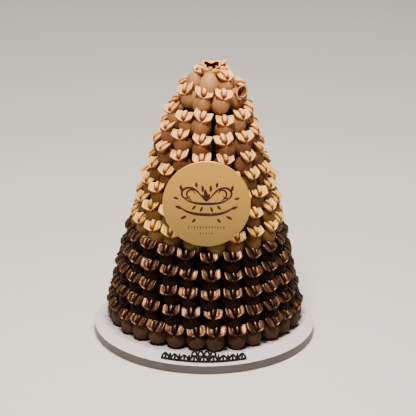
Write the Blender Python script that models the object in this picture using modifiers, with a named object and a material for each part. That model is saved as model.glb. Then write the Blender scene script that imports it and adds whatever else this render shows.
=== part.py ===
"""Chocolate pyramid on its round board, in metres, +Z up.

Rows of pomegranate-shaped chocolates stand on each other and lean in to a rounded top: dark rows
at the foot, caramel rows above them, milk rows at the top, one more piece in the middle of the
top row, a gold disc leaning on the front and a black cresting along the board's front edge.  Every
row is one lobed solid, with a belly, a neck and a flared crown for each of its pieces.  The origin
is the middle of the board's underside and the front looks along -Y.
"""
import math

import bmesh
import bpy
import numpy as np
from mathutils import Matrix, Vector

# Board
BOARD_DIAMETER = 0.350
BOARD_THICKNESS = 0.015
BOARD_EDGE_ROUND = 0.0012
BOARD_SEGMENTS = 72

# Tower: rows of pieces from the foot upwards
DARK_ROWS = (28, 26, 24, 23, 21)
CARAMEL_ROWS = (20, 18, 17, 15)
MILK_ROWS = (12, 11, 10, 8, 6)
TOWER_SETBACK = 0.026      # the tower stands behind the board's middle
FIRST_CROWN_HEIGHT = 0.036
ROW_RISE = 0.0294
FOOT_RADIUS = 0.149        # from the axis to the crowns of the first row
SIDE_LEAN = 0.078          # how far the side comes in over the tower's height, in a straight line
SIDE_BOW = 0.024           # and how much more in a bow
TOP_ROUNDING = 0.014       # and at the rounded top
TOWER_LEAN = 0.024         # the whole tower leans to +X
ROW_TILT = 0.032           # the rows run down to +X
TILT_RAMP = 0.060          # height over which the tilt grows from the level board
TOP_ROW_RADIUS = 0.0227    # the top row leans inwards, so its crowns stand close together
TOP_ROW_RAISED = 0.0018    # and a little high

# One pomegranate piece
BULB_RADIUS = 0.0160
BULB_TO_CROWN = 0.0220
PIECE_TILT = math.radians(24.0)
TOP_PIECE_TILT = math.radians(-15.0)
NECK_RADIUS = 0.0070
NECK_SHARE = 0.66          # of the way from the bulb's middle to the crown
CROWN_REACH = 0.0090
CARAMEL_CROWN_REACH = 0.0050  # the caramel crowns curl in, and the disc rests on them
CROWN_RISE = 0.0040
CROWN_HOLLOW = 0.0005
CROWN_TIP_RADIUS = 0.0145
UNEVENNESS = 0.0007
SEAT_DEPTH = 0.0070        # the next row's seat lies this far below the crowns
SEAT_INSET = 0.0150        # and this far inside them

# Gold disc
DISC_DIAMETER = 0.138
DISC_THICKNESS = 0.0040
DISC_EDGE_ROUND = 0.0006
DISC_SEGMENTS = 64
DISC_BACK_TILT = math.radians(6.5)
DISC_HEIGHT = 0.2393       # of its middle above the board
DISC_BACK_Y = -0.0891      # of the middle of its back
DISC_SIDE_SHIFT = 0.0017

# Black cresting that stands on the board along its front edge
CRESTING_RADIUS = 0.165
CRESTING_SPREAD = math.radians(48.0)
CRESTING_THICKNESS = 0.0030
CRESTING_TEETH = 11        # an odd number, so that one is in the middle
CRESTING_LOW = 0.0050
CRESTING_HIGH = 0.0135
CRESTING_MIDDLE = 0.0222

TOUCHING_GAP = 0.0003

COLOURS = {
    "board_white": ((0.80, 0.76, 0.72), 0.25, 0.0),
    "dark_chocolate": ((0.045, 0.018, 0.008), 0.30, 0.0),
    "caramel_chocolate": ((0.52, 0.27, 0.09), 0.35, 0.0),
    "milk_chocolate": ((0.50, 0.25, 0.12), 0.35, 0.0),
    "gold": ((0.55, 0.34, 0.12), 0.35, 0.3),
    "black_acrylic": ((0.008, 0.008, 0.009), 0.15, 0.0),
}


def clear_scene():
    for item in list(bpy.data.objects):
        bpy.data.objects.remove(item, do_unlink=True)


def make_material(name):
    colour, roughness, metallic = COLOURS[name]
    material = bpy.data.materials.new(name)
    material.use_nodes = True
    shader = material.node_tree.nodes["Principled BSDF"]
    shader.inputs["Base Color"].default_value = (*colour, 1.0)
    shader.inputs["Roughness"].default_value = roughness
    shader.inputs["Metallic"].default_value = metallic
    return material


def make_object(name, geometry, material_name, collection, parent=None):
    """Turn bmesh geometry into a named object with its material."""
    mesh = bpy.data.meshes.new(name)
    bmesh.ops.recalc_face_normals(geometry, faces=geometry.faces)
    geometry.to_mesh(mesh)
    geometry.free()
    mesh.shade_smooth()
    mesh.set_sharp_from_angle(angle=math.radians(35.0))
    mesh.materials.append(bpy.data.materials.get(material_name) or make_material(material_name))
    item = bpy.data.objects.new(name, mesh)
    item.parent = parent
    collection.objects.link(item)
    return item


def make_round_plate(name, diameter, thickness, edge_round, segments, material_name, collection):
    """A flat disc lying on z = 0 with a small round on both rims."""
    geometry = bmesh.new()
    bmesh.ops.create_cone(geometry, cap_ends=True, segments=segments, radius1=diameter / 2,
                          radius2=diameter / 2, depth=thickness,
                          matrix=Matrix.Translation((0, 0, thickness / 2)))
    item = make_object(name, geometry, material_name, collection)
    bevel = item.modifiers.new("rim_round", "BEVEL")
    bevel.width = edge_round
    bevel.segments = 1
    bevel.limit_method = "ANGLE"
    bevel.angle_limit = math.radians(40.0)
    return item


def row_height(row, row_count):
    """Height of a row's crowns above the board, rows counted from 0."""
    raised = TOP_ROW_RAISED if row == row_count - 1 else 0.0
    return FIRST_CROWN_HEIGHT + ROW_RISE * row + raised


def row_radius(row, row_count):
    """Radius of a row's crowns: a straight lean, a bow and a rounding that grows near the top,
    where the last row closes in."""
    if row == row_count - 1:
        return TOP_ROW_RADIUS
    share = row / (row_count - 1)
    return FOOT_RADIUS - SIDE_LEAN * share - SIDE_BOW * share**2 - TOP_ROUNDING * share**8


def lean(points):
    """Lean the tower to +X and let its rows run down that way, starting level on the board."""
    leaning = points.copy()
    ramp = np.clip(points[:, 2] / TILT_RAMP, 0.0, 1.0)
    leaning[:, 0] += TOWER_LEAN * points[:, 2]
    leaning[:, 2] -= ROW_TILT * ramp * points[:, 0]
    return leaning


def round_outline(offset, radius):
    """Outward reach of a round piece at a sideways offset from its middle, never below zero."""
    return np.sqrt(np.clip(radius**2 - offset**2, 0.0, None))


def lobed_ring(middle_radius, valley_radius, piece_radius, height, count, wobble):
    """Four points for each piece: the valley before it, its shoulder, its peak and its shoulder."""
    step = 2 * math.pi / (4 * count)
    index = np.arange(4 * count)
    angle = (index - 2) * step
    from_valley = index % 4
    offset = np.abs(from_valley - 2) * step * middle_radius
    radius = middle_radius + round_outline(offset, piece_radius) + np.repeat(wobble, 4)
    radius = np.where(from_valley == 0, valley_radius, radius)
    return np.stack([radius * np.sin(angle), -radius * np.cos(angle),
                     np.full(4 * count, height)], axis=1)


def plain_ring(radius, height, count):
    """One point at each valley between pieces."""
    angle = (np.arange(count) - 0.5) * 2 * math.pi / count
    return np.stack([radius * np.sin(angle), -radius * np.cos(angle),
                     np.full(count, height)], axis=1)


def bridge(geometry, plain, lobed):
    """Faces between a plain ring and a lobed ring that has four points for each of its points."""
    count = len(plain)
    for piece in range(count):
        here, there = plain[piece], plain[(piece + 1) % count]
        edge = [lobed[(4 * piece + corner) % (4 * count)] for corner in range(5)]
        geometry.faces.new((here, edge[0], edge[1]))
        geometry.faces.new((here, edge[1], edge[2]))
        geometry.faces.new((here, edge[2], there))
        geometry.faces.new((there, edge[2], edge[3]))
        geometry.faces.new((there, edge[3], edge[4]))


def band(geometry, lower, upper):
    """Quads between two rings with the same number of points."""
    for corner in range(len(lower)):
        after = (corner + 1) % len(lower)
        geometry.faces.new((lower[corner], lower[after], upper[after], upper[corner]))


def make_row(name, row, counts, crown_reach, material_name, collection, tower, random):
    """One row: a solid disc whose rim swells into a belly, a neck and a crown for each piece."""
    count = counts[row]
    crown_radius = row_radius(row, len(counts))
    crown_height = row_height(row, len(counts))
    tilt = TOP_PIECE_TILT if row == len(counts) - 1 else PIECE_TILT
    bulb_radius = crown_radius - BULB_TO_CROWN * math.sin(tilt)
    bulb_height = crown_height - BULB_TO_CROWN * math.cos(tilt)
    neck_radius = bulb_radius + NECK_SHARE * (crown_radius - bulb_radius)
    neck_height = bulb_height + NECK_SHARE * (crown_height - bulb_height)
    if row == 0:
        seat_radius = bulb_radius
        seat_height = TOUCHING_GAP
    else:
        below = row_radius(row - 1, len(counts)) - SEAT_INSET
        seat_radius = below * math.cos(math.pi / counts[row - 1]) - TOUCHING_GAP
        seat_height = row_height(row - 1, len(counts)) - SEAT_DEPTH + TOUCHING_GAP
    wobble = random.uniform(-UNEVENNESS, UNEVENNESS, count)

    still = np.zeros(count)
    rings = [
        plain_ring(seat_radius, seat_height, count),
        lobed_ring(bulb_radius, bulb_radius + TOUCHING_GAP, BULB_RADIUS, bulb_height, count, wobble),
        lobed_ring(neck_radius, neck_radius - NECK_RADIUS, NECK_RADIUS, neck_height, count, still),
        lobed_ring(crown_radius + crown_reach - CROWN_TIP_RADIUS, crown_radius - CROWN_HOLLOW,
                   CROWN_TIP_RADIUS, crown_height + CROWN_RISE, count, wobble),
        plain_ring(crown_radius - SEAT_INSET, crown_height - SEAT_DEPTH, count),
    ]
    geometry = bmesh.new()
    placed = [[geometry.verts.new(point) for point in lean(ring)] for ring in rings]
    bridge(geometry, placed[0], placed[1])
    band(geometry, placed[1], placed[2])
    band(geometry, placed[2], placed[3])
    bridge(geometry, placed[4], placed[3])
    geometry.faces.new(placed[0])
    geometry.faces.new(placed[4])
    return make_object(name, geometry, material_name, collection, parent=tower)


def make_top_piece(name, counts, material_name, collection, tower):
    """The single upright piece in the middle of the top row, a turned outline."""
    seat = row_height(len(counts) - 1, len(counts)) - SEAT_DEPTH + TOUCHING_GAP
    profile = [(0.0, 0.0215), (0.0040, 0.0175), (0.0125, 0.0215), (0.0072, 0.0145),
               (0.0068, 0.0095), (0.0060, 0.0045), (0.0055, 0.0), (0.0, 0.0)]
    outline = bpy.data.meshes.new(name)
    points = [(radius, 0.0, height) for radius, height in profile]
    outline.from_pydata(points, [(k, k + 1) for k in range(len(points) - 1)], [])
    outline.materials.append(bpy.data.materials.get(material_name) or make_material(material_name))
    item = bpy.data.objects.new(name, outline)
    item.parent = tower
    item.location = (TOWER_LEAN * seat, 0.0, seat)
    item.rotation_euler = (0.0, math.atan(ROW_TILT), 0.0)
    collection.objects.link(item)
    turn = item.modifiers.new("turn", "SCREW")
    turn.steps = 20
    turn.render_steps = 20
    turn.use_merge_vertices = True
    turn.merge_threshold = 0.0001
    turn.use_smooth_shade = True
    return item


def make_disc(collection):
    """The gold disc, leaning back with its lower rim against the crowns."""
    disc = make_round_plate("gold_disc", DISC_DIAMETER, DISC_THICKNESS, DISC_EDGE_ROUND,
                            DISC_SEGMENTS, "gold", collection)
    disc.rotation_euler = (math.pi / 2 - DISC_BACK_TILT, 0.0, 0.0)
    disc.location = Vector((DISC_SIDE_SHIFT, DISC_BACK_Y, BOARD_THICKNESS + DISC_HEIGHT))
    return disc


def make_cresting(collection):
    """A low curved strip with a saw-tooth top, whose middle tooth is the tallest."""
    steps = 2 * CRESTING_TEETH
    angle = np.linspace(-CRESTING_SPREAD / 2, CRESTING_SPREAD / 2, steps + 1)
    top = np.where(np.arange(steps + 1) % 2 == 0, CRESTING_LOW, CRESTING_HIGH)
    top[steps // 2] = CRESTING_MIDDLE
    foot = np.full(steps + 1, BOARD_THICKNESS + TOUCHING_GAP)
    corners = ((CRESTING_RADIUS, foot), (CRESTING_RADIUS, foot + top),
               (CRESTING_RADIUS - CRESTING_THICKNESS, foot + top),
               (CRESTING_RADIUS - CRESTING_THICKNESS, foot))
    geometry = bmesh.new()
    sections = [[geometry.verts.new((radius * math.sin(turn), -radius * math.cos(turn), height[k]))
                 for radius, height in corners] for k, turn in enumerate(angle)]
    for here, there in zip(sections, sections[1:]):
        band(geometry, here, there)
    geometry.faces.new(sections[0])
    geometry.faces.new(sections[-1])
    return make_object("cresting", geometry, "black_acrylic", collection)


def main():
    clear_scene()
    collection = bpy.data.collections.new("chocolate_pyramid")
    bpy.context.scene.collection.children.link(collection)

    make_round_plate("board", BOARD_DIAMETER, BOARD_THICKNESS, BOARD_EDGE_ROUND, BOARD_SEGMENTS,
                     "board_white", collection)
    tower = bpy.data.objects.new("tower_axis", None)
    tower.location = (0.0, TOWER_SETBACK, BOARD_THICKNESS)
    collection.objects.link(tower)

    tiers = ((DARK_ROWS, "dark", CROWN_REACH), (CARAMEL_ROWS, "caramel", CARAMEL_CROWN_REACH),
             (MILK_ROWS, "milk", CROWN_REACH))
    counts = DARK_ROWS + CARAMEL_ROWS + MILK_ROWS
    random = np.random.default_rng(7)
    row = 0
    for tier_counts, tier, crown_reach in tiers:
        for _ in tier_counts:
            make_row(f"row_{row + 1:02d}_{tier}", row, counts, crown_reach, f"{tier}_chocolate",
                     collection, tower, random)
            row += 1
    make_top_piece("top_piece", counts, "milk_chocolate", collection, tower)
    make_disc(collection)
    make_cresting(collection)


main()
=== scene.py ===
"""Looks of the chocolate pyramid: every chocolate, the board, the gold disc, the black cresting,
their finishes and the stage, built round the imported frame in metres, +Z up, front along -Y."""
import math
from typing import NamedTuple

import bpy
import numpy as np
from mathutils import Matrix, Vector


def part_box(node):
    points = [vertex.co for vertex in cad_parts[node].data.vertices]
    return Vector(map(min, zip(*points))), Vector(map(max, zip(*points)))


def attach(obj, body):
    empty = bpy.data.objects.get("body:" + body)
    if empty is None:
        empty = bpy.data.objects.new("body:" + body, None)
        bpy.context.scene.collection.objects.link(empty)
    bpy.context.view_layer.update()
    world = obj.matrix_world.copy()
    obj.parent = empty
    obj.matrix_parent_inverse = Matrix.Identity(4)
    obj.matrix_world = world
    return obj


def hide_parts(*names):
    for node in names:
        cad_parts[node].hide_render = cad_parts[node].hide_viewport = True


bl_info = {
    "name": "Chocolate Pyramid",
    "version": (1, 0, 0),
    "blender": (4, 5, 0),
    "location": "View3D > Sidebar > Chocolate Pyramid",
    "description": "Chocolates, board, disc, cresting and stage round the packed frame",
    "category": "Object",
}

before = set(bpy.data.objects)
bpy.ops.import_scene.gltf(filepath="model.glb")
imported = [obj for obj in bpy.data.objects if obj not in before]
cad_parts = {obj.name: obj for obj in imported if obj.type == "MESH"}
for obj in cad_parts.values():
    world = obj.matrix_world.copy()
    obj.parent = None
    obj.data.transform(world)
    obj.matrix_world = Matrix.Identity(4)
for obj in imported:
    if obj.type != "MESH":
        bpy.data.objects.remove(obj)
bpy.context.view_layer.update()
BOARD_LOW, BOARD_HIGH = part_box("board")
DISC_LOW, DISC_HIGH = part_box("gold_disc")
FOOT_LOW, FOOT_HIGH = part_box("row_01_dark")
ROW_NODES = sorted(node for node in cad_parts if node.startswith("row_"))
ROW_COUNTS = (28, 26, 24, 23, 21, 20, 18, 17, 15, 12, 11, 10, 8, 6)
# Degrees from the front to each row's first piece.
FIRST_AZIMUTHS = (7.6, 5.4, 3.7, 4.0, 2.0, 5.9, 4.3, 10.0, 23.0, 19.5, 19.4, 22.0, 24.5, 44.0)
RAISED_ROW = 12            # this row's pieces sit a little high
TOP_ROW = len(ROW_COUNTS) - 1
CAGE_SWELL = 1.17          # a smoothed cage draws in by this much
RIM_CREASE = 0.78
ROW_SEED = 40              # of the first row's unevenness; each row above has the next number
ODD_SEED = 90
TOP_SEED = 77
DISC_LEAN_BACK = math.radians(6.5)
DISC_THICKNESS = 0.0040
ORNAMENT_LIFT = 0.00035    # half the thickness of the disc's ornament
FLOOR_REACH = 14.0


class Mould(NamedTuple):
    """How one kind of chocolate is shaped and how it stands."""

    nod: float             # how far the crown tips forward, in degrees
    breadth: float         # of the crown
    hang: float            # how long the body's lower half is
    turned_back: float     # how much of the turning back to the front it takes
    looseness: float       # how far it strays from its place and tilt
    finger: float          # the finger's thickness; without one the crown is an open cup


MOULDS = {
    "dark": Mould(13.0, 0.97, 1.00, 0.30, 1.0, 0.66),
    "caramel": Mould(6.0, 0.91, 1.05, 0.75, 1.2, 0.96),
    "milk": Mould(0.0, 0.91, 1.18, 1.00, 1.7, 1.06),
    "top": Mould(0.0, 0.88, 1.12, 0.0, 1.0, 0.0),
    "slipped": Mould(38.0, 0.94, 1.12, 0.0, 1.0, 0.0),
    "turned_away": Mould(22.0, 0.92, 1.34, 0.0, 1.0, 1.00),
}
# The top pieces: azimuth in degrees, crown's radius and height over the row's, outward tilt. The
# first faces the axis, so its radius counts from the far side.
TOP_PIECES = ((170.0, -0.020, 0.0040, 28.0), (44.0, 0.027, -0.0010, 14.0),
              (106.0, 0.018, 0.0005, -10.0), (160.0, 0.024, 0.0010, -14.0),
              (222.0, 0.023, 0.0015, -14.0), (284.0, 0.0190, 0.0020, -20.0))
# Pieces that stand apart, by row and number in the row: their outward tilt, mould and finish.
ODD_PIECES = {(12, 1): (30.0, "slipped", "open"), (13, 0): (28.0, "turned_away", "milk")}
# The piece in the middle of the top: its crown's place, with the height over the top row's.
TOP_CROWN = (-0.0025, 0.003, 0.0078)
TOP_TILT = math.radians(18.0)
# Lights: place, width, power and tint.
LIGHTS = {
    "key": ((-0.20, -0.80, 1.95), 0.42, 64.0, (1.0, 0.90, 0.79)),
    "top": ((0.20, 0.05, 2.30), 0.46, 68.0, (1.0, 0.94, 0.86)),
}
LIGHT_TARGET = Vector((0.0, 0.02, 0.22))
WORLD_TINT = (0.95, 0.96, 1.0, 1.0)
WORLD_STRENGTH = 0.07
# The camera: lens and film in millimetres, its distance in front and height over the board, and
# how it is turned, pitched and rolled.
CAMERA_LENS = 354.5481
CAMERA_FILM = 36.0
CAMERA_DISTANCE = 6.0
CAMERA_HEIGHT = 2.680
CAMERA_TURN = math.radians(-0.03916)
CAMERA_PITCH = math.radians(67.5)
CAMERA_ROLL = math.radians(0.65)


# ------------------------ settings

def length(name, description, default):
    """A length in metres that a user may change."""
    return bpy.props.FloatProperty(name=name, description=description, default=default,
                                   unit="LENGTH", precision=4)


def turn(name, description, degrees):
    """An angle, given in degrees."""
    return bpy.props.FloatProperty(name=name, description=description,
                                   default=math.radians(degrees), subtype="ANGLE")


def share(name, description, default):
    """A plain number, such as a share or a slope."""
    return bpy.props.FloatProperty(name=name, description=description, default=default)


def colour(name, description, default):
    """A linear colour."""
    return bpy.props.FloatVectorProperty(name=name, description=description, default=default,
                                         size=3, subtype="COLOR", min=0.0, max=1.0)


class TowerSettings(bpy.types.PropertyGroup):
    """How the rows stand and how uneven they are."""

    setback: length("Setback", "The tower's axis behind the board's middle",
                    (FOOT_LOW.y + FOOT_HIGH.y) / 2)
    first_crown: length("First crowns", "Height of the first row's crowns above the board", 0.036)
    rise: length("Row rise", "Height from one row's crowns to the next", 0.0294)
    raised: length("Raised row", "How much higher the raised row's crowns stand", 0.0060)
    foot_radius: length("Foot radius", "From the axis to the first row's crowns", 0.149)
    side_lean: length("Side lean", "How far the side comes in, in a straight line", 0.078)
    side_bow: length("Side bow", "How much more it comes in, in a bow", 0.024)
    top_rounding: length("Top rounding", "How much more it comes in at the rounded top", 0.014)
    lean: share("Lean", "Sideways run of the axis for each metre of height", 0.022)
    row_tilt: share("Row tilt", "How much the rows run down to +X", 0.032)
    tilt_ramp: length("Tilt ramp", "Height over which the tilt grows from the level board", 0.060)
    wander: length("Wander", "How far a piece strays from its place", 0.0007)
    nod: turn("Nod", "How far a piece leans off its own tilt", 2.8)
    spin: turn("Spin", "How far a piece turns about its own axis", 7.0)
    gather: turn("Gather", "How far the milk rows' pieces draw together at the front", 7.0)
    turned_left: share("Turned left", "Share of their azimuth that pieces on the left turn back",
                       0.5)
    turned_right: share("Turned right", "The same on the right", 0.2)
    size_spread: share("Size spread", "How much the sizes of pieces differ", 0.018)


class ChocolateSettings(bpy.types.PropertyGroup):
    """The size of one pomegranate chocolate."""

    bulb_radius: length("Bulb radius", "Radius of the round body", 0.0155)
    bulb_to_crown: length("Bulb to crown", "From the body's middle to the crown's", 0.0220)
    tilt: turn("Tilt", "How far a piece leans outwards", 24.0)
    neck_radius: length("Neck radius", "Radius of the neck under the crown", 0.0082)
    neck_height: length("Neck height", "From the body's middle to the neck", 0.0152)
    crown_radius: length("Crown radius", "From the axis to the crown's widest corners", 0.0162)
    crown_rise: length("Crown rise", "From the neck to the petals' highest corners", 0.0098)
    rim: length("Rim", "Thickness of the petals at their rim", 0.0042)
    lumps: length("Lumps", "How far the body strays from an even round", 0.0006)
    petal_spread: length("Petal spread", "How far a petal's end stands above or below", 0.0017)
    finger_radius: length("Finger radius", "Radius of the finger that lies in the crown", 0.0046)
    dish: length("Dish", "How far the petals sag between rim and channel", 0.0016)


class FinishSettings(bpy.types.PropertyGroup):
    """Colours of the finishes."""

    dark_body: colour("Dark body", "Dark chocolate", (0.0105, 0.0039, 0.0017))
    # Painted light: dark bodies near the board, paler as if lit from the board.
    dark_lit_foot: colour("Dark foot", "Dark bodies near the board", (0.062, 0.0325, 0.0200))
    # Partly a bronze lustre, partly painted reflection of the top light on the dark crowns.
    dark_crown: colour("Dark crown", "Bronze sheen on dark crowns", (0.29, 0.140, 0.075))
    caramel_body: colour("Caramel body", "Caramel chocolate", (0.102, 0.042, 0.0068))
    # Painted light: the lowest caramel bodies, paler.
    caramel_lit_foot: colour("Caramel foot", "The lowest caramel bodies", (0.135, 0.066, 0.014))
    # Partly the caramel crowns' own paler colour, partly painted light from above.
    caramel_crown: colour("Caramel crown", "Upper faces of caramel crowns", (0.95, 0.50, 0.125))
    # Painted shade on the crowns' thin rims, which face down.
    dark_rim_shade: colour("Dark rim", "Thin edge of dark crowns", (0.030, 0.012, 0.006))
    caramel_rim_shade: colour("Caramel rim", "Thin edge of caramel crowns", (0.30, 0.105, 0.010))
    milk_rim_shade: colour("Milk rim", "Thin edge of milk crowns", (0.36, 0.105, 0.016))
    milk_body: colour("Milk body", "Milk chocolate", (0.132, 0.053, 0.0195))
    # Painted light: milk bodies at the tip, paler as if lit from above.
    milk_lit_tip: colour("Milk tip", "Milk bodies at the tip", (0.360, 0.170, 0.066))
    # Partly the milk crowns' own paler colour, partly painted light from above.
    milk_crown: colour("Milk crown", "Upper faces of milk crowns", (0.95, 0.475, 0.172))
    hollow: colour("Hollow", "Shade in a crown's hollow", (0.13, 0.045, 0.02))
    # Painted shade inside an open crown, dark red.
    cup: colour("Cup", "Dark red inside of an open crown", (0.016, 0.0020, 0.0012))
    board: colour("Board", "White laminate", (0.72, 0.655, 0.658))
    # Painted shade: the white board's side in shade, grey-brown.
    edge: colour("Edge", "The board's cut side", (0.088, 0.070, 0.068))
    gold: colour("Gold", "Satin gold disc", (0.80, 0.440, 0.073))
    # Painted shade on the disc near its foot.
    gold_shaded_foot: colour("Gold foot", "The disc near its foot", (0.29, 0.186, 0.048))
    maroon: colour("Maroon", "Ornament on the disc", (0.036, 0.0028, 0.0030))
    bronze: colour("Bronze", "Faint marks on the disc", (0.12, 0.068, 0.026))
    black: colour("Black", "Black acrylic cresting", (0.0035, 0.0035, 0.004))
    floor: colour("Floor", "Floor of the stage", (0.66, 0.65, 0.63))


# ------------------------ shader maths

class Value:
    """A shader socket: expressions on values add Math nodes to its tree."""

    def __init__(self, tree, socket=None):
        self.tree = tree
        self.socket = socket

    def node(self, kind, settings=(), inputs=(), output=0):
        """Add a node: its settings first, then the values or links of its sockets."""
        made = self.tree.nodes.new(kind)
        for name, value in dict(settings).items():
            setattr(made, name, value)
        for key, value in dict(inputs).items():
            if isinstance(value, Value):
                self.tree.links.new(value.socket, made.inputs[key])
            else:
                made.inputs[key].default_value = value
        return Value(self.tree, made.outputs[output])

    def math(self, operation, *values):
        """Add a Math node."""
        return self.node("ShaderNodeMath", {"operation": operation}, dict(enumerate(values)))

    def __add__(self, other):
        return self.math("ADD", self, other)

    __radd__ = __add__

    def __sub__(self, other):
        return self.math("SUBTRACT", self, other)

    def __rsub__(self, other):
        return self.math("SUBTRACT", other, self)

    def __mul__(self, other):
        return self.math("MULTIPLY", self, other)

    __rmul__ = __mul__

    def sine(self):
        """The sine of the value, in radians."""
        return self.math("SINE", self)

    def clipped(self, low, high):
        """Run from 0 at low to 1 at high, smoothly, and stay there outside."""
        return self.node("ShaderNodeMapRange", {"interpolation_type": "SMOOTHSTEP"},
                         {0: self, 1: low, 2: high})


class Finish(Value):
    """A new material with its Principled shader; also the start of its shader maths."""

    def __init__(self, name, **constants):
        self.material = bpy.data.materials.new(name)
        self.material.use_nodes = True
        super().__init__(self.material.node_tree)
        self.shader = self.tree.nodes["Principled BSDF"]
        for socket, value in constants.items():
            self.shader.inputs[socket.replace("_", " ")].default_value = value

    def attribute(self, name):
        """A number stored at the points of the mesh."""
        return self.node("ShaderNodeAttribute", {"attribute_name": name}, output="Fac")

    def place(self, scale=(1.0, 1.0, 1.0)):
        """Object coordinates, stretched for a pattern that runs one way."""
        spot = self.node("ShaderNodeTexCoord", output="Object")
        return self.node("ShaderNodeMapping", {}, {"Vector": spot, "Scale": scale})

    def noise(self, size, detail=2.0, scale=(1.0, 1.0, 1.0)):
        """Soft noise whose patches are about the given size in metres."""
        return self.node("ShaderNodeTexNoise", {},
                         {"Vector": self.place(scale), "Scale": 1.0 / size, "Detail": detail})

    def blend(self, first, second, factor):
        """Mix two colours by a factor."""
        parts = {0: factor, 6: self.solid(first), 7: self.solid(second)}
        return self.node("ShaderNodeMix", {"data_type": "RGBA"}, parts, output=2)

    def height(self):
        """Height above the board's underside, in metres."""
        return self.node("ShaderNodeSeparateXYZ", {}, {0: self.place()}, 2)

    @staticmethod
    def solid(shade):
        """A colour with full alpha; a link stays a link."""
        return shade if isinstance(shade, Value) else (*tuple(shade)[:3], 1.0)

    def feed(self, **links):
        """Link values to the Principled shader's sockets."""
        for socket, value in links.items():
            self.tree.links.new(value.socket, self.shader.inputs[socket.replace("_", " ")])
        return self.material

    def relief(self, height, depth, strength=1.0):
        """A normal from a height pattern of the given depth in metres."""
        return self.node("ShaderNodeBump", {}, {"Strength": strength, "Distance": depth,
                                                "Height": height})


def shaded(tone, factor):
    """A colour made lighter or darker by a factor."""
    return tuple(min(1.0, part * factor) for part in tone)


def chocolate_finish(name, body, lit_body, heights, crown, rim, hollow, pleats, streaks, sheen,
                     depth, coat):
    """Moulded chocolate: mottled body, paler crown faces with fine pleats from front to back,
    painted shade in the hollow and a soft uneven gloss. The crown faces are paler partly in their
    own colour and partly as painted light from above, and the pleats carry painted highlight
    streaks with painted shade in their grooves. The mesh's crown, hollow, across and tone
    attributes say where each shows and how pale a piece is. The body's colour runs to a paler
    second colour between the two heights, as painted light where the bodies catch more of it. Rim
    is the painted shade on the crowns' rims and hollow the painted shade in their hollows. Pleats
    is their number times pi, streaks are the bounds within which the pleats turn from groove to
    ridge, sheen is how metallic the crown is and depth is how dark its grooves are, in painted
    shade."""
    finish = Finish(name, Coat_Weight=coat, Coat_Roughness=0.34, Specular_IOR_Level=coat * 1.5)
    crown_mask = finish.attribute("crown")
    hollow_mask = finish.attribute("hollow")
    tone = finish.attribute("tone")
    cloud = finish.noise(0.011, 3.0).clipped(0.36, 0.64)
    grain = finish.noise(0.0016, 4.0)
    wobble = finish.noise(0.006, 2.0) * 2.2
    # Pleats: bumps, and also painted highlight streaks along them with painted shade in their
    # grooves.
    pleat_and_highlight = (finish.attribute("across") * pleats + wobble + tone * 4.0).sine()
    pleat_and_highlight = pleat_and_highlight.clipped(*streaks)
    body_mix = cloud * 0.5 + tone * 0.5
    body_shade = finish.blend(shaded(body, 0.72), shaded(body, 1.25), body_mix)
    # Painted light: a paler copy of the body colour, which the bodies take between the two
    # heights.
    painted_light_body = finish.blend(shaded(lit_body, 0.80), shaded(lit_body, 1.20), body_mix)
    body_shade = finish.blend(body_shade, painted_light_body, finish.height().clipped(*heights))
    crown_mix = grain.clipped(0.35, 0.68) * 0.20 + tone * 0.20 + pleat_and_highlight * 0.60
    # Lit and shaded copies of the crown colour: painted highlight and painted shade.
    crown_shade = finish.blend(shaded(crown, depth), shaded(crown, 1.10), crown_mix)
    shade = finish.blend(body_shade, crown_shade, crown_mask.clipped(0.30, 0.95))
    # Painted shade on the rims, and in the dish and channel, in the rim colour.
    rim_shade_mask = (crown_mask * (1.0 - crown_mask) * 4.0).clipped(0.05, 0.75)
    shade = finish.blend(shade, rim, rim_shade_mask * 0.85)
    # Painted shade in the hollow.
    shade = finish.blend(shade, hollow, hollow_mask.clipped(0.05, 0.95))
    roughness = 0.42 + cloud * 0.10 - crown_mask * 0.10 + grain * 0.06
    lumps = finish.noise(0.007) * (1.0 - crown_mask * 0.8)
    relief = finish.relief(grain * 0.25 + lumps + pleat_and_highlight * crown_mask * 0.45, 0.00095, 0.75)
    return finish.feed(Base_Color=shade, Roughness=roughness, Metallic=crown_mask * sheen,
                       Normal=relief)


def core_finish():
    """The depth between the pieces, painted nearly black as shade: dull and faintly cloudy."""
    finish = Finish("core_painted_shade", Specular_IOR_Level=0.05, Roughness=0.95)
    cloud = finish.noise(0.010, 2.0)
    shade = finish.blend((0.003, 0.0015, 0.001), (0.007, 0.003, 0.002), cloud)
    return finish.feed(Base_Color=shade)


def laminate_finish():
    """White gloss laminate with a faint orange-peel ripple, a haze of dust and fine specks."""
    tone = bpy.context.scene.chocolate_finishes.board
    finish = Finish("board_white", Coat_Weight=0.35, Coat_Roughness=0.08)
    haze = finish.noise(0.05, 4.0).clipped(0.35, 0.70)
    speck = finish.noise(0.0012, 2.0).clipped(0.70, 0.80)
    shade = finish.blend(tone, shaded(tone, 0.93), haze)
    shade = finish.blend(shade, shaded(tone, 0.80), speck * 0.25)
    return finish.feed(Base_Color=shade, Roughness=0.20 + haze * 0.14,
                       Normal=finish.relief(finish.noise(0.004, 1.0), 0.00004, 0.5))


def shaded_edge_finish():
    """The board's cut side: the white board in painted shade, cloudy grey-brown, with faint level
    saw lines.
    """
    tone = bpy.context.scene.chocolate_finishes.edge
    finish = Finish("board_edge_shade", Coat_Weight=0.1, Coat_Roughness=0.3)
    cloud = finish.noise(0.040, 3.0).clipped(0.35, 0.70)
    line = finish.noise(0.010, 4.0, (0.2, 0.2, 7.0)).clipped(0.35, 0.65)
    shade = finish.blend(shaded(tone, 0.88), shaded(tone, 1.10), cloud * 0.6 + line * 0.4)
    return finish.feed(Base_Color=shade, Roughness=0.42 + line * 0.16,
                       Normal=finish.relief(line, 0.00008, 0.4))


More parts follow.
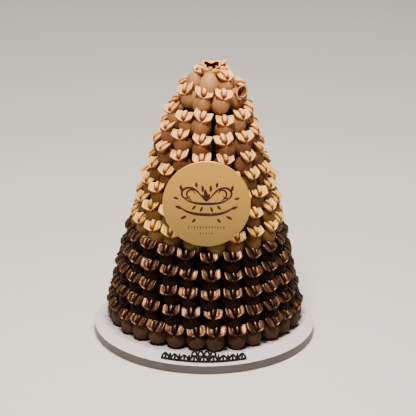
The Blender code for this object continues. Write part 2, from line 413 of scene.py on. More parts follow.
def gold_finish():
    """Satin gold: a fine upright brush, slightly cloudy, and darker towards the disc's foot as
    painted shade.
    """
    tones = bpy.context.scene.chocolate_finishes
    tone = tones.gold
    finish = Finish("gold_satin", Coat_Weight=0.15, Coat_Roughness=0.25)
    cloud = finish.noise(0.045, 3.0).clipped(0.30, 0.70)
    brush = finish.noise(0.0022, 4.0, (1.0, 1.0, 0.06))
    shade = finish.blend(shaded(tone, 0.95), shaded(tone, 1.05), cloud * 0.6 + brush * 0.4)
    # Painted shade: the gold darkens towards the disc's foot.
    rise = finish.height().clipped(DISC_LOW.z - 0.02, DISC_HIGH.z)
    shade = finish.blend(tones.gold_shaded_foot, shade, rise)
    return finish.feed(Base_Color=shade, Roughness=0.36 + brush * 0.16,
                       Metallic=0.50 + cloud * 0.10,
                       Normal=finish.relief(brush, 0.00003, 0.5))


def glaze_finish(name, tone, roughness, coat):
    """Coloured glaze, print or acrylic with faint clouding."""
    finish = Finish(name, Coat_Weight=coat, Coat_Roughness=0.06, Specular_IOR_Level=0.2 + coat)
    cloud = finish.noise(0.008, 3.0)
    shade = finish.blend(shaded(tone, 0.8), shaded(tone, 1.4), cloud)
    return finish.feed(Base_Color=shade, Roughness=roughness + cloud * 0.12,
                       Normal=finish.relief(cloud, 0.00005, 0.5))


# ------------------------ surfaces

def grid_faces(rows, columns, first=0, wrap=True):
    """Quads of a grid of rows x columns points whose columns close round when wrap is set."""
    row = np.arange(rows - 1)[:, None] * columns
    column = np.arange(columns if wrap else columns - 1)[None, :]
    after = (column + 1) % columns
    corners = np.stack([row + column, row + after, row + columns + after, row + columns + column],
                       axis=-1)
    return (corners.reshape(-1, 4) + first).tolist()


def fan_faces(pole, ring, outwards):
    """Triangles that close a ring of point numbers with its pole."""
    after = np.roll(ring, -1)
    order = (after, ring) if outwards else (ring, after)
    return np.stack([np.full(len(ring), pole), *order], axis=-1).tolist()


def closed_rings(rings):
    """Points and faces of a shell through rings of points, closed at both ends by a pole.
    Rings is an array of ring x point x 3, and each pole is the mean of its end ring."""
    count, around = rings.shape[:2]
    poles = rings[[0, -1]].mean(axis=1)
    points = np.vstack([rings.reshape(-1, 3), poles])
    last = (count - 1) * around
    faces = grid_faces(count, around)
    faces += fan_faces(count * around, np.arange(around), True)
    faces += fan_faces(count * around + 1, last + np.arange(around), False)
    return points, faces


def turned(profile, segments):
    """A profile of radius and height, bottom to top, carried round the Z axis."""
    angle = np.arange(segments) * 2 * math.pi / segments
    radius, height = np.asarray(profile, float).T
    return np.stack([radius[:, None] * np.sin(angle), -radius[:, None] * np.cos(angle),
                     np.repeat(height[:, None], segments, axis=1)], axis=-1)


def joined(parts):
    """One list of points and faces from several, faces renumbered."""
    points, faces, first = [], [], 0
    for part_points, part_faces in parts:
        points.append(part_points)
        faces += [[corner + first for corner in face] for face in part_faces]
        first += len(part_points)
    return np.vstack(points), faces


def copies(points, faces, placed):
    """Faces of many copies of one shape; placed is copy x point x 3."""
    step = len(points)
    shifts = (np.arange(len(placed)) * step)[:, None]
    widths = [len(face) for face in faces]
    flat = np.concatenate([np.asarray(face) for face in faces])
    cuts = np.cumsum(widths)[:-1]
    every = []
    for corners in flat[None, :] + shifts:
        every += [piece.tolist() for piece in np.split(corners, cuts)]
    return placed.reshape(-1, 3), every


def make_piece(name, points, faces, material, nodes=(), attributes=(), smooth_angle=None):
    """A finished mesh object at the origin that rides on the body and stands for its nodes."""
    mesh = bpy.data.meshes.new(name)
    mesh.from_pydata(points.tolist(), [], faces)
    for key, values in dict(attributes).items():
        layer = mesh.attributes.new(key, "FLOAT", "POINT")
        layer.data.foreach_set("value", np.asarray(values, np.float32).ravel())
    mesh.shade_smooth()
    if smooth_angle is not None:
        mesh.set_sharp_from_angle(angle=smooth_angle)
    mesh.materials.append(material)
    piece = bpy.data.objects.new(name, mesh)
    bpy.context.scene.collection.objects.link(piece)
    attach(piece, "root")
    if nodes:
        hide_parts(*nodes)
    return piece


# ------------------------ chocolates

def row_height(tower, row):
    """Height of a row's crowns above the board, rows counted from 0."""
    return tower.first_crown + tower.rise * row + (tower.raised if row == RAISED_ROW else 0.0)


def row_radius(tower, row):
    """Radius of a row's crowns: a straight lean, a bow and a rounding that grows near the top."""
    part = row / TOP_ROW
    return (tower.foot_radius - tower.side_lean * part - tower.side_bow * part**2
            - tower.top_rounding * part**8)


def standing(tower, points):
    """Tower coordinates to the frame: lean to +X, let rows run down that way, stand on the
    board."""
    ramp = np.clip(points[:, 2] / tower.tilt_ramp, 0.0, 1.0)
    return np.stack([points[:, 0] + tower.lean * points[:, 2],
                     points[:, 1] + tower.setback,
                     points[:, 2] - tower.row_tilt * ramp * points[:, 0] + BOARD_HIGH.z], axis=1)


# The crown's rim and the finger's path are given as shares of the crown's radius and rise.
CROWN_HALF_RIM = (
    (0.00, -0.30, 0.05),
    (0.19, -0.56, 0.52),
    (0.58, -0.46, 0.71),
    (0.97, -0.30, 0.92),
    (0.99, 0.12, 1.00),
    (0.96, 0.52, 1.08),
    (0.64, 0.58, 0.92),
    (0.34, 0.61, 0.76),
    (0.00, 0.52, 0.56),
)
CORNERS_ACROSS = (0.97, 0.96, 0.19)    # the rim's points that are the petals' corners
FINGER_PATH = (                        # behind, above, and share of the finger's radius
    (0.54, 0.40, 0.75),
    (0.55, 0.96, 1.00),
    (0.22, 0.96, 1.05),
    (-0.10, 0.76, 1.05),
    (-0.34, 0.34, 0.90),
)


def crown_outline():
    """The rim of the crown as sixteen points from the back round the left, the front and the
    right: across, behind and above. Two broad petals with blunt outer ends lie side by side, and
    their front edges run down to a notch."""
    half = np.array(CROWN_HALF_RIM)
    left = half[:0:-1] * (-1.0, 1.0, 1.0)
    return np.vstack([left, half[:-1]])


def chocolate_cage(size, finger_share):
    """A coarse cage of one chocolate on its own axis, the body's middle at the origin.
    Rings of sixteen points climb the round body, draw in at the neck, flare out under the petals,
    turn over their rim, sag across the petals and drop into the channel between them, where the
    finger lies; without a finger the channel is as wide as a cup. Returns points, faces, creased
    edges and the crown, hollow and across attributes."""
    shares = crown_outline()
    reach = np.array((size.crown_radius, size.crown_radius, size.crown_rise))
    outline = shares * reach
    columns = len(outline)
    even = np.radians((np.arange(columns) - columns / 2) * 360.0 / columns)
    around = np.stack([np.sin(even), -np.cos(even)], axis=1)
    body = size.bulb_radius * CAGE_SWELL
    neck = size.neck_height
    channel = (0.26 + 0.10 * finger_share) + 0.08 * shares[:, 1]
    lip = np.stack([np.clip(shares[:, 0], -channel, channel), 0.76 * shares[:, 1],
                    0.92 * shares[:, 2]], axis=1) * reach
    channel_floor = lip * (0.62, 0.78, 0.0) + (0.0, 0.0, 0.20 * size.crown_rise)
    if finger_share == 0.0:
        lip = shares * (0.82, 0.78, 0.93) * reach
        channel_floor = lip * (0.80, 0.80, 0.0) - (0.0, 0.0, 0.35 * size.crown_rise)
    dish = (outline + lip) / 2 - (0.0, 0.0, size.dish)

    def level(radius, height):
        """A round ring at one height."""
        return np.column_stack([around * radius, np.full(columns, height)])

    up = np.array((0.0, 0.0, neck))
    under = (0.0, 0.0, neck - size.rim)
    rings = np.array([
        level(body * 0.62, -body * 0.75),
        level(body * 0.99, -body * 0.14),
        level(body * 0.78, body * 0.58),
        level(size.neck_radius, neck),
        0.45 * level(size.neck_radius, neck) + 0.55 * (outline + under),
        outline * (0.98, 0.98, 1.0) + under,
        outline + up,
        dish + up,
        lip + up,
        channel_floor + up,
    ])
    points, faces = closed_rings(rings)
    points[-2] = (0.0, 0.0, -body * 0.94)
    points[-1] = (0.0, 0.0, neck + 0.10 * size.crown_rise)
    # Crown values: lower in the dish and on the channel floor, so painted shade in the rim colour
    # falls there.
    crown_by_ring = (0.0, 0.0, 0.0, 0.0, 0.1, 0.40, 1.0, 0.93, 1.0, 0.5)
    crown = np.concatenate([np.repeat(crown_by_ring, columns), (0.0, 0.5)])
    # Hollow values: painted shade, full on the channel floor and partly on the lip, all over an
    # open cup's inside.
    lip_hollow = 1.0 if finger_share == 0.0 else 0.30
    hollow_by_ring = (*np.zeros(len(rings) - 2), lip_hollow, 1.0)
    hollow = np.concatenate([np.repeat(hollow_by_ring, columns), (0.0, 1.0)])
    if finger_share > 0.0:
        finger, finger_crown, finger_hollow = finger_cage(size, finger_share)
        points, faces = joined([(points, faces), finger])
        crown = np.concatenate([crown, finger_crown])
        hollow = np.concatenate([hollow, finger_hollow])
    rim_low, rim_high, inner = 5 * columns, 6 * columns, 8 * columns
    creased = [(first + column, first + (column + 1) % columns)
               for first in (rim_low, rim_high, inner) for column in range(columns)]
    corners = np.flatnonzero(np.isin(np.abs(shares[:, 0]), CORNERS_ACROSS))
    creased += [(rim_low + column, rim_high + column) for column in corners]
    attributes = {"crown": crown, "hollow": hollow, "across": points[:, 0] / size.crown_radius}
    return points, faces, creased, attributes


def finger_cage(size, finger_share):
    """The round finger in the channel between the petals: a six-sided ring carried along a bent
    path, up behind the petals and down to the notch, where its front end hangs in painted shade."""
    path = np.array(FINGER_PATH)
    behind, above = path[:, 0] * size.crown_radius, path[:, 1] * size.crown_rise
    run = np.gradient(np.stack([behind, above], axis=1), axis=0)
    run /= np.linalg.norm(run, axis=1, keepdims=True)
    sides = 6
    turn_round = np.arange(sides) * 2 * math.pi / sides
    thickness = size.finger_radius * finger_share * path[:, 2:]
    across = np.cos(turn_round)[None, :] * thickness
    upward = np.sin(turn_round)[None, :] * thickness * 0.85
    rings = np.stack([across, behind[:, None] + run[:, 1:] * upward,
                      above[:, None] - run[:, :1] * upward + size.neck_height], axis=-1)
    # Painted light and shade: the top takes the crown colour, the sides the rim colour, the front
    # end the hollow's shade.
    lit = np.where(np.sin(turn_round) > 0.1, 1.0, 0.55)
    crown = np.outer((0.5, 1.0, 1.0, 0.9, 0.3), lit).ravel()
    crown = np.concatenate([crown, (0.5, 0.2)])
    hollow = np.concatenate([np.repeat((0.0, 0.0, 0.0, 0.3, 0.9), sides), (0.0, 1.0)])
    return closed_rings(rings), crown, hollow


def turning(angles, axis):
    """Rotation matrices about X, Y or Z for an array of angles."""
    first, second = {"X": (1, 2), "Y": (2, 0), "Z": (0, 1)}[axis]
    matrices = np.tile(np.eye(3), (len(angles), 1, 1))
    matrices[:, first, first] = matrices[:, second, second] = np.cos(angles)
    matrices[:, first, second] = -np.sin(angles)
    matrices[:, second, first] = np.sin(angles)
    return matrices


def moulded(points, size, mould):
    """The cage as one tier's mould makes it: the crown narrowed and tipped forward about the neck,
    wholly above it and not at all half way down, and the body's lower half drawn longer."""
    nod = math.radians(mould.nod)
    above = np.clip(points[:, 2] / size.neck_height * 2.0 - 1.0, 0.0, 1.0)
    across = points[:, 0] * (1.0 - (1.0 - mould.breadth) * above)
    behind = points[:, 1]
    hung = np.where(points[:, 2] < 0.0, points[:, 2] * mould.hang, points[:, 2])
    height = hung - size.neck_height
    return np.stack([across, behind * np.cos(nod * above) - height * np.sin(nod * above),
                     behind * np.sin(nod * above) + height * np.cos(nod * above)
                     + size.neck_height], axis=1)


def uneven(points, count, size, random):
    """Copies of the cage that differ by hand: lumps all over the body, which fade out up the neck,
    and petals that each stand a little higher or lower in proportion to their reach."""
    above = np.clip(points[:, 2] / size.neck_height - 0.5, 0.0, 1.0)
    lumps = size.lumps * random.standard_normal((count, len(points), 3)) * (1.0 - above)[:, None]
    reach = points[:, 0] / size.crown_radius
    lift = size.petal_spread * random.standard_normal((count, 2))
    raised = lift[:, :1] * np.clip(-reach, 0.0, 1.0) + lift[:, 1:] * np.clip(reach, 0.0, 1.0)
    varied = points[None, :, :] + lumps
    varied[:, :, 2] += raised * above
    return varied


def make_chocolates(name, node, material, crowns, azimuths, tilts, seed, mould):
    """Copies of one chocolate at the given crown places, each turned, tilted and sized unevenly.
    Crowns are points in tower coordinates; azimuths say which way each piece leans outwards."""
    tower = bpy.context.scene.chocolate_tower
    size = bpy.context.scene.chocolate_size
    random = np.random.default_rng(seed)
    count = len(azimuths)
    points, faces, creased, attributes = chocolate_cage(size, mould.finger)
    points = moulded(points, size, mould)
    aside = (azimuths + math.pi) % (2 * math.pi) - math.pi
    turned_back = np.where(aside < 0.0, tower.turned_left, tower.turned_right)
    fading = np.clip(2.0 - np.abs(aside), 0.0, 1.0)
    loose = mould.looseness
    spin = (-mould.turned_back * turned_back * aside * fading
            + loose * tower.spin * random.standard_normal(count))
    nod = tilts + loose * tower.nod * random.standard_normal(count)
    roll = loose * tower.nod * random.standard_normal(count)
    turns = (turning(azimuths, "Z") @ turning(nod, "X") @ turning(roll, "Y")
             @ turning(spin, "Z"))
    scale = 1.0 + tower.size_spread * np.clip(random.standard_normal(count), -1.8, 1.8)
    stray = loose * tower.wander * random.standard_normal((count, 3))
    middle = crowns - size.bulb_to_crown * turns[:, :, 2] + stray
    middle = standing(tower, middle)
    placed = np.einsum("cij,cpj->cpi", turns, uneven(points, count, size, random))
    placed = placed * scale[:, None, None] + middle[:, None, :]
    every_point, every_face = copies(points, faces, placed)
    spread = {key: np.tile(values, count) for key, values in attributes.items()}
    spread["tone"] = np.repeat(random.uniform(0.0, 1.0, count), len(points))
    piece = make_piece(name, every_point, every_face, material, (node,), spread)
    crease_rims(piece, creased, len(points))
    smooth = piece.modifiers.new("smooth", "SUBSURF")
    smooth.levels = 1
    smooth.render_levels = 1


def crease_rims(piece, creased, step):
    """Keep the petals' rims crisp: a partial crease on the given edges of every copy. Step is the
    number of points in one copy, so an edge is known by its point numbers within its copy."""
    mesh = piece.data
    ends = np.zeros(2 * len(mesh.edges), np.int32)
    mesh.edges.foreach_get("vertices", ends)
    ends = np.sort(ends.reshape(-1, 2) % step, axis=1)
    wanted = np.sort(np.array(creased), axis=1)
    keys = ends[:, 0] * step + ends[:, 1]
    marked = np.isin(keys, wanted[:, 0] * step + wanted[:, 1])
    layer = mesh.attributes.new("crease_edge", "FLOAT", "EDGE")
    layer.data.foreach_set("value", np.where(marked, RIM_CREASE, 0.0).astype(np.float32))


class CHOCOLATE_OT_rows(bpy.types.Operator):
    """Build every row of pomegranate chocolates"""

    bl_idname = "chocolate.rows"
    bl_label = "Chocolate rows"

    def execute(self, context):
        tower = context.scene.chocolate_tower
        size = context.scene.chocolate_size
        tones = context.scene.chocolate_finishes
        # Heights between which each tier's bodies run to their paler colour, as painted light:
        # near the board for the dark tier, low in the caramel tier and at the milk tip.
        foot, low, tip = (0.062, 0.030), (0.225, 0.185), (0.300, 0.420)
        # Painted shade in the caramel and milk crowns' hollows.
        hollow = shaded(tones.hollow, 0.6)
        pale = (14.0, (-0.75, 0.60), 0.0, 0.66)
        milk = (tones.milk_body, tones.milk_lit_tip, tip, tones.milk_crown, tones.milk_rim_shade)
        finishes = {
            # Dark chocolate: crowns partly painted reflection, nearly black painted shade in the
            # hollows.
            "dark": chocolate_finish("dark_chocolate", tones.dark_body, tones.dark_lit_foot, foot,
                                     tones.dark_crown, tones.dark_rim_shade,
                                     shaded(tones.hollow, 0.07), 8.5, (-0.55, 0.80), 0.80, 0.09,
                                     coat=0.02),
            "caramel": chocolate_finish("caramel_chocolate", tones.caramel_body,
                                        tones.caramel_lit_foot, low, tones.caramel_crown,
                                        tones.caramel_rim_shade, hollow, *pale, coat=0.09),
            "milk": chocolate_finish("milk_chocolate", *milk, hollow, *pale, coat=0.09),
            # The open piece's hollow: a paler painted shade inside its crown.
            "open": chocolate_finish("open_chocolate", *milk, shaded(tones.hollow, 1.5), *pale,
                                     coat=0.0),
            # The cup piece's hollow: dark red painted shade inside its open crown.
            "cup": chocolate_finish("cup_chocolate", *milk, tones.cup, *pale, coat=0.0),
        }
        for row, node in enumerate(ROW_NODES):
            tier = node.split("_")[-1]
            count = ROW_COUNTS[row]
            first, step = math.radians(FIRST_AZIMUTHS[row]), 2 * math.pi / count
            azimuths = first + np.arange(count) * step
            if tier == "milk":
                azimuths -= tower.gather * np.sin(azimuths - first + step / 2)
            radii = np.full(count, row_radius(tower, row))
            heights = np.full(count, row_height(tower, row))
            tilts = np.full(count, size.tilt)
            if row == TOP_ROW:
                azimuths, radii, raised, tilts = np.array(TOP_PIECES).T
                azimuths, tilts = np.radians(azimuths), np.radians(tilts)
                heights = heights + raised
            crowns = np.stack([radii * np.sin(azimuths), -radii * np.cos(azimuths), heights],
                              axis=1)
            odd = [number for odd_row, number in ODD_PIECES if odd_row == row]
            kept = np.setdiff1d(np.arange(count), odd)
            make_chocolates(f"chocolates_{node}", node, finishes[tier],
                            crowns[kept], azimuths[kept], tilts[kept], ROW_SEED + row,
                            MOULDS[tier])
            for number in odd:
                odd_tilt, mould, finish = ODD_PIECES[row, number]
                make_chocolates(f"{mould}_{node}", node, finishes[finish],
                                crowns[[number]], azimuths[[number]],
                                np.radians([odd_tilt]), ODD_SEED + number, MOULDS[mould])
        crown = np.array([TOP_CROWN]) + (0.0, 0.0, row_height(tower, TOP_ROW))
        make_chocolates("chocolate_top_piece", "top_piece", finishes["cup"],
                        crown, np.array([0.0]), TOP_TILT, TOP_SEED, MOULDS["top"])
        return {"FINISHED"}


class CHOCOLATE_OT_core(bpy.types.Operator):
    """Build the core that the chocolates stand round, nearly black as painted shade"""

    bl_idname = "chocolate.core"
    bl_label = "Core"

    def execute(self, context):
        tower = context.scene.chocolate_tower
        size = context.scene.chocolate_size
        around = 96
        heights = np.array([row_height(tower, row) for row in range(len(ROW_COUNTS))])
        radii = np.array([row_radius(tower, row) for row in range(len(ROW_COUNTS))])
        inset = size.bulb_to_crown * math.sin(size.tilt) + 0.35 * size.bulb_radius
        drop = size.bulb_to_crown * math.cos(size.tilt)
        profile = np.stack([radii - inset, heights - drop], axis=1)
        foot = (profile[0, 0], 0.0004)
        cap = (0.010, heights[-1] - 0.004)
        rings = turned(np.vstack([foot, profile, cap]), around)
        wave_round = np.sin(np.arange(around) * 2 * math.pi / around * 17)
        wave_up = np.cos(np.arange(len(rings)) * 2.1)
        rings[:, :, :2] *= (1.0 + 0.012 * wave_up[:, None] * wave_round)[:, :, None]
        placed = standing(tower, rings.reshape(-1, 3)).reshape(rings.shape)
        points, faces = closed_rings(placed)
        make_piece("core", points, faces, core_finish())
        return {"FINISHED"}


# ------------------------ board

class CHOCOLATE_OT_board(bpy.types.Operator):
    """Build the round white board: its body, and the gloss sheet on top"""

    bl_idname = "chocolate.board"
    bl_label = "Board"

    def execute(self, context):
        radius = (BOARD_HIGH.x - BOARD_LOW.x) / 2
        inner = radius / 2
        side = radius - 0.0003
        top = BOARD_HIGH.z
        seam = top - 0.0010
        body = [(inner, 0.0), (radius - 0.0012, 0.0), (radius - 0.0006, 0.0004), (side, 0.0014),
                (side, seam * 0.35), (side, seam * 0.7), (side, seam - 0.0002),
                (radius - 0.0012, seam), (inner, seam)]
        sheet = [(inner, seam), (radius - 0.0004, seam), (radius, seam + 0.0002),
                 (radius, top - 0.0003), (radius - 0.0002, top - 0.0001), (radius - 0.0006, top),
                 (inner, top)]
        for name, profile, finish in (("board_body", body, shaded_edge_finish()),
                                      ("board_laminate", sheet, laminate_finish())):
            points, faces = closed_rings(turned(profile, 240))
            make_piece(name, points, faces, finish, ("board",),
                       smooth_angle=math.radians(38.0))
        return {"FINISHED"}


# ------------------------ disc

def brush_path(start, heading, bends, run, steps):
    """A planar path that sets off along a heading and bends at a rate that changes evenly from
    the first to the second of the given turns per whole run; returns its points."""
    along = np.linspace(0.0, 1.0, steps)
    turned_by = bends[0] * along + (bends[1] - bends[0]) * along**2 / 2
    angle = heading + 2 * math.pi * turned_by
    step = np.stack([np.cos(angle), np.sin(angle)], axis=1) * run / (steps - 1)
    return np.asarray(start, float) + np.vstack([(0.0, 0.0), np.cumsum(step[:-1], axis=0)])


def stroke(path, half_width, half_height, sides=8):
    """A flat rounded bar along a planar path: its section is a squared-off round, and it widens
    and narrows along the path as half_width says. Returns points with their height along Z."""
    ahead = np.gradient(path, axis=0)
    ahead /= np.linalg.norm(ahead, axis=1)[:, None]
    side = np.stack([-ahead[:, 1], ahead[:, 0]], axis=1)
    angle = (np.arange(sides) + 0.5) * 2 * math.pi / sides
    squared = np.sign(np.cos(angle)) * np.abs(np.cos(angle))**0.6
    lifted = np.sign(np.sin(angle)) * np.abs(np.sin(angle))**0.6
    reach = half_width[:, None] * squared[None, :]
    plane = path[:, None, :] + side[:, None, :] * reach[..., None]
    height = np.broadcast_to(half_height * lifted, plane.shape[:2])
    rings = np.concatenate([plane, height[..., None]], axis=-1)
    return closed_rings(rings[:, ::-1])


def swelling(steps, half_width, tip=0.18):
    """Half widths of a brush stroke: thin at both ends and full in the middle."""
    along = np.linspace(0.0, 1.0, steps)
    return half_width * (tip + (1.0 - tip) * np.sin(math.pi * along)**0.7)


def mirrored(parts):
    """The same parts on the other side of the Y axis of their plane."""
    flipped = []
    for points, faces in parts:
        other = points * (-1.0, 1.0, 1.0)
        flipped.append((other, [face[::-1] for face in faces]))
    return parts + flipped


def swag(start, bends, run, half_width):
    """A brush stroke that hangs like a garland: one half sets off level and bends up, the other is
    its mirror image, and the stroke is full in the middle and pointed at both ends."""
    half = brush_path(start, 0.0, bends, run, 40)
    path = np.vstack([(half * (-1.0, 1.0))[:0:-1], half])
    return stroke(path, swelling(len(path), half_width, 0.05), ORNAMENT_LIFT)


def leaf(start, heading, run, half_width):
    """A pointed leaf with a slight bend."""
    path = brush_path(start, math.radians(heading), (0.10, -0.06), run, 16)
    return stroke(path, swelling(16, half_width, 0.05), ORNAMENT_LIFT)


def disc_ornament():
    """A generic leafy garland, the same on both sides of the disc's middle: two hanging swags, two
    pairs of rolling tendrils, leaves along them and a bud between."""
    half = []
    tendrils = (
        ((0.0035, 0.0075), 48.0, (0.20, -1.95), 0.068, 0.0018),
        ((0.0230, 0.0060), 20.0, (0.35, 1.15), 0.034, 0.0015),
    )
    for start, heading, bends, run, width in tendrils:
        path = brush_path(start, math.radians(heading), bends, run, 44)
        half.append(stroke(path, swelling(44, width), ORNAMENT_LIFT))
    leaves = (
        ((0.0060, 0.0195), 80.0, 0.0110, 0.0023), ((0.0150, 0.0265), 70.0, 0.0090, 0.0021),
        ((0.0380, 0.0200), 65.0, 0.0110, 0.0023), ((0.0435, 0.0080), 10.0, 0.0090, 0.0020),
        ((0.0380, -0.0080), 15.0, 0.0120, 0.0023), ((0.0310, -0.0190), -38.0, 0.0110, 0.0022),
        ((0.0170, -0.0235), -60.0, 0.0085, 0.0020), ((0.0065, -0.0040), -78.0, 0.0095, 0.0020),
        ((0.0165, -0.0020), -58.0, 0.0095, 0.0020),
    )
    half += [leaf(*shape) for shape in leaves]
    parts = mirrored(half)
    parts += [leaf((0.0, 0.0040), heading, run, width)
              for heading, run, width in ((90.0, 0.0210, 0.0034), (62.0, 0.0140, 0.0024),
                                          (118.0, 0.0140, 0.0024))]
    parts.append(swag((0.0, 0.0005), (0.02, 0.24), 0.040, 0.0024))
    parts.append(swag((0.0, -0.0170), (0.03, 0.26), 0.048, 0.0028))
    return joined(parts)


def disc_marks():
    """Two faint rows of small upright lozenges under the garland, every other one shorter."""
    parts = []
    for reach, height, tall in ((6, -0.0375, 0.0060), (2, -0.0475, 0.0042)):
        for number in range(-reach, reach + 1):
            run = tall * (1.0 if number % 2 == 0 else 0.62)
            path = np.stack([np.full(12, number * 0.0046),
                             height + np.linspace(-run / 2, run / 2, 12)], axis=1)
            parts.append(stroke(path, swelling(12, 0.0011, 0.1), ORNAMENT_LIFT * 0.6))
    return joined(parts)


class CHOCOLATE_OT_disc(bpy.types.Operator):
    """Build the gold disc and its ornament"""

    bl_idname = "chocolate.disc"
    bl_label = "Gold disc"

    def execute(self, context):
        radius = (DISC_HIGH.x - DISC_LOW.x) / 2
        centre = (DISC_LOW + DISC_HIGH) / 2
        upright = Matrix.Rotation(math.pi / 2 - DISC_LEAN_BACK, 4, "X")
        place = Matrix.Translation(centre) @ upright
        front = DISC_THICKNESS / 2
        back = -front
        face = front - 0.00012
        profile = [(radius * 0.5, back), (radius - 0.0008, back), (radius - 0.0002, back + 0.0003),
                   (radius, back + 0.0010), (radius, front - 0.0010),
                   (radius - 0.0002, front - 0.0003), (radius - 0.0008, front),
                   (radius - 0.0016, face), (radius - 0.0026, face), (radius * 0.5, face)]
        points, faces = closed_rings(turned(profile, 160))
        make_piece("gold_disc_plate", moved(points, place), faces, gold_finish(),
                   ("gold_disc",), smooth_angle=math.radians(50.0))
        tones = context.scene.chocolate_finishes
        glaze = glaze_finish("maroon_glaze", tones.maroon, 0.40, 0.1)
        print_finish = glaze_finish("bronze_print", tones.bronze, 0.55, 0.0)
        for name, shape, finish in (("disc_ornament", disc_ornament(), glaze),
                                    ("disc_marks", disc_marks(), print_finish)):
            points, faces = shape
            points = points + (0.0, 0.0, front - 0.0001)
            make_piece(name, moved(points, place), faces, finish, ("gold_disc",))
        return {"FINISHED"}


def moved(points, matrix):
    """Points carried by a 4 x 4 matrix."""
    whole = np.array(matrix)
    return points @ whole[:3, :3].T + whole[:3, 3]


# ------------------------ cresting

def level_bar(half_run, height, half_width, depth):
    """A level bar of even width."""
    path = np.stack([np.linspace(-half_run, half_run, 80), np.full(80, height)], axis=1)
    return stroke(path, np.full(80, half_width), depth, 10)


def lancet(middle, foot, half_span, rise, half_width, depth):
    """A pointed arch: two bars that lean together in quarter sines from a foot to a point."""
    along = np.linspace(0.0, 1.0, 20)
    bars = []
    for side in (-1.0, 1.0):
        path = np.stack([middle + side * half_span * np.cos(along * math.pi / 2)**0.7,
                         foot + rise * along], axis=1)
        bars.append(stroke(path, np.full(20, half_width), depth, 10))
    return bars


def lozenge(middle, foot, rise, half_width, depth):
    """An upright pointed bar, widest half way up."""
    path = np.stack([np.full(14, middle), np.linspace(foot, foot + rise, 14)], axis=1)
    return [stroke(path, swelling(14, half_width, 0.15), depth, 10)]


class CHOCOLATE_OT_cresting(bpy.types.Operator):
    """Build the black openwork cresting along the board's front"""

    bl_idname = "chocolate.cresting"
    bl_label = "Black cresting"

    def execute(self, context):
        low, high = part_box("cresting")
        radius = -low.y - 0.0015
        run = 2 * math.asin(high.x / radius) * radius
        tall = high.z - BOARD_HIGH.z
        depth = 0.0013
        cells = 9
        pitch = run / cells
        cell_rise = 0.0122
        bar_width = 0.0017
        parts = [level_bar(run / 2, 0.0019, 0.0019, depth)]
        for cell in range(cells):
            middle = (cell - (cells - 1) / 2) * pitch
            parts += lancet(middle, 0.0015, pitch * 0.40, cell_rise - 0.0020, bar_width, depth)
            parts += lozenge(middle, 0.0020, cell_rise * 0.62, 0.0020, depth)
        for cell in range(1, cells):
            parts += lozenge((cell - cells / 2) * pitch, 0.0015, cell_rise, 0.0022, depth)
        parts.append(level_bar(0.0205, cell_rise - 0.0010, 0.0015, depth))
        for offset in (-1.5, -0.5, 0.5, 1.5):
            rise = (tall - cell_rise - 0.0016) * (1.0 - 0.10 * abs(offset))
            parts += lancet(offset * 0.0098, cell_rise, 0.0040, rise, bar_width, depth)
        points, faces = joined(parts)
        angle = points[:, 0] / radius
        ring_radius = radius + points[:, 2]
        bent = np.stack([ring_radius * np.sin(angle), -ring_radius * np.cos(angle),
                         BOARD_HIGH.z + points[:, 1]], axis=1)
        faces = [face[::-1] for face in faces]
        finish = glaze_finish("black_acrylic", context.scene.chocolate_finishes.black, 0.35, 0.0)
        make_piece("cresting_openwork", bent, faces, finish, ("cresting",))
        return {"FINISHED"}


# ------------------------ stage

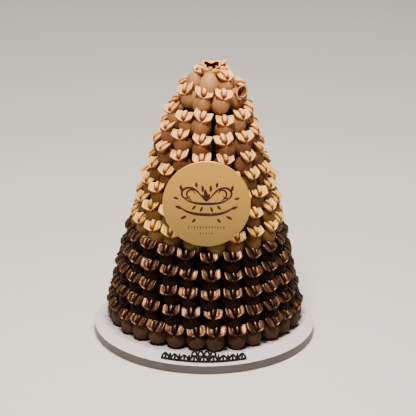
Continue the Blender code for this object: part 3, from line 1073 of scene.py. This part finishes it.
class CHOCOLATE_OT_stage(bpy.types.Operator):
    """Set the pale floor, the soft lights and the camera"""

    bl_idname = "chocolate.stage"
    bl_label = "Stage"

    def execute(self, context):
        scene = context.scene
        tone = scene.chocolate_finishes.floor
        finish = Finish("stage_floor", Roughness=0.85)
        haze = finish.noise(0.6, 2.0)
        shade = finish.blend(shaded(tone, 0.97), shaded(tone, 1.02), haze)
        mesh = bpy.data.meshes.new("floor")
        corners = [(x * FLOOR_REACH, y * FLOOR_REACH, 0.0)
                   for x, y in ((-1, -1), (1, -1), (1, 1), (-1, 1))]
        mesh.from_pydata(corners, [], [(0, 1, 2, 3)])
        mesh.materials.append(finish.feed(Base_Color=shade))
        floor = bpy.data.objects.new("floor", mesh)
        scene.collection.objects.link(floor)

        world = bpy.data.worlds.new("stage_world")
        world.use_nodes = True
        background = world.node_tree.nodes["Background"]
        background.inputs["Color"].default_value = WORLD_TINT
        background.inputs["Strength"].default_value = WORLD_STRENGTH
        scene.world = world
        for name, light in LIGHTS.items():
            self.soft_light(name, *light)

        camera = bpy.data.cameras.new("camera")
        camera.sensor_width = CAMERA_FILM
        camera.lens = CAMERA_LENS
        camera.clip_start = 0.1
        camera.clip_end = 60.0
        item = bpy.data.objects.new("camera", camera)
        scene.collection.objects.link(item)
        item.location = (0.0, -CAMERA_DISTANCE, BOARD_HIGH.z + CAMERA_HEIGHT)
        aim = (Matrix.Rotation(CAMERA_TURN, 4, "Z") @ Matrix.Rotation(CAMERA_PITCH, 4, "X")
               @ Matrix.Rotation(CAMERA_ROLL, 4, "Z"))
        item.rotation_euler = aim.to_euler()
        scene.camera = item
        return {"FINISHED"}

    @staticmethod
    def soft_light(name, place, size, power, tint):
        """A square soft light that looks at the middle of the tower."""
        light = bpy.data.lights.new(name, "AREA")
        light.size = size
        light.energy = power
        light.color = tint
        item = bpy.data.objects.new(name, light)
        bpy.context.scene.collection.objects.link(item)
        item.location = place
        ahead = LIGHT_TARGET - Vector(place)
        item.rotation_euler = ahead.to_track_quat("-Z", "Y").to_euler()


# ------------------------ panel and run

OPERATORS = (CHOCOLATE_OT_stage, CHOCOLATE_OT_board, CHOCOLATE_OT_core, CHOCOLATE_OT_rows,
             CHOCOLATE_OT_disc, CHOCOLATE_OT_cresting)


class CHOCOLATE_PT_panel(bpy.types.Panel):
    """Buttons for every group of pieces"""

    bl_label = "Chocolate Pyramid"
    bl_idname = "CHOCOLATE_PT_panel"
    bl_space_type = "VIEW_3D"
    bl_region_type = "UI"
    bl_category = "Chocolate Pyramid"

    def draw(self, context):
        for operator in OPERATORS:
            self.layout.operator(operator.bl_idname)


CLASSES = (TowerSettings, ChocolateSettings, FinishSettings, *OPERATORS, CHOCOLATE_PT_panel)


def register():
    """Register the classes and hang the settings on the scene."""
    for item in CLASSES:
        bpy.utils.register_class(item)
    scene = bpy.types.Scene
    scene.chocolate_tower = bpy.props.PointerProperty(type=TowerSettings)
    scene.chocolate_size = bpy.props.PointerProperty(type=ChocolateSettings)
    scene.chocolate_finishes = bpy.props.PointerProperty(type=FinishSettings)


def unregister():
    """Undo register."""
    for name in ("chocolate_tower", "chocolate_size", "chocolate_finishes"):
        delattr(bpy.types.Scene, name)
    for item in reversed(CLASSES):
        bpy.utils.unregister_class(item)


def main():
    """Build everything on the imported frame."""
    register()
    bpy.ops.chocolate.stage()
    bpy.ops.chocolate.board()
    bpy.ops.chocolate.core()
    bpy.ops.chocolate.rows()
    bpy.ops.chocolate.disc()
    bpy.ops.chocolate.cresting()
    bpy.context.view_layer.update()


if __name__ == "__main__":
    main()
